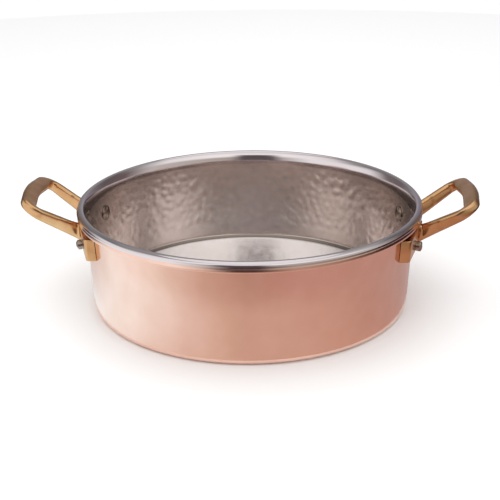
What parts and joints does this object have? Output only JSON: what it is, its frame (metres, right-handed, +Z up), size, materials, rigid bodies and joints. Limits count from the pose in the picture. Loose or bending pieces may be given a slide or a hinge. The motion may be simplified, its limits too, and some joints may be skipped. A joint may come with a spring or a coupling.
{
  "type": "copper casserole pot",
  "caption": "Low round copper casserole with a hammered silvery lining rolled over its lip, and a riveted brass loop handle on each side.",
  "frame": {"origin": "centre of the pot's flat base, on the surface it stands on", "axes": "+X towards the right handle, +Y away from the viewer in the picture, +Z up"},
  "size_m": [0.391, 0.297, 0.1019],
  "materials": {
    "copper": "satin-polished copper with faint hammer marks",
    "lining": "grey-brown silvery lining, hammered on the wall, smooth on the floor, polished on the lip",
    "handle_brass": "polished cast brass",
    "rivet": "grey metal, lightly hammered"
  },
  "bodies": {
    "root": {"copper_shell": "copper", "lining": "lining", "left_handle": "handle_brass", "right_handle": "handle_brass", "left_front_rivet": "rivet", "left_back_rivet": "rivet", "right_front_rivet": "rivet", "right_back_rivet": "rivet"}
  },
  "joints": []
}
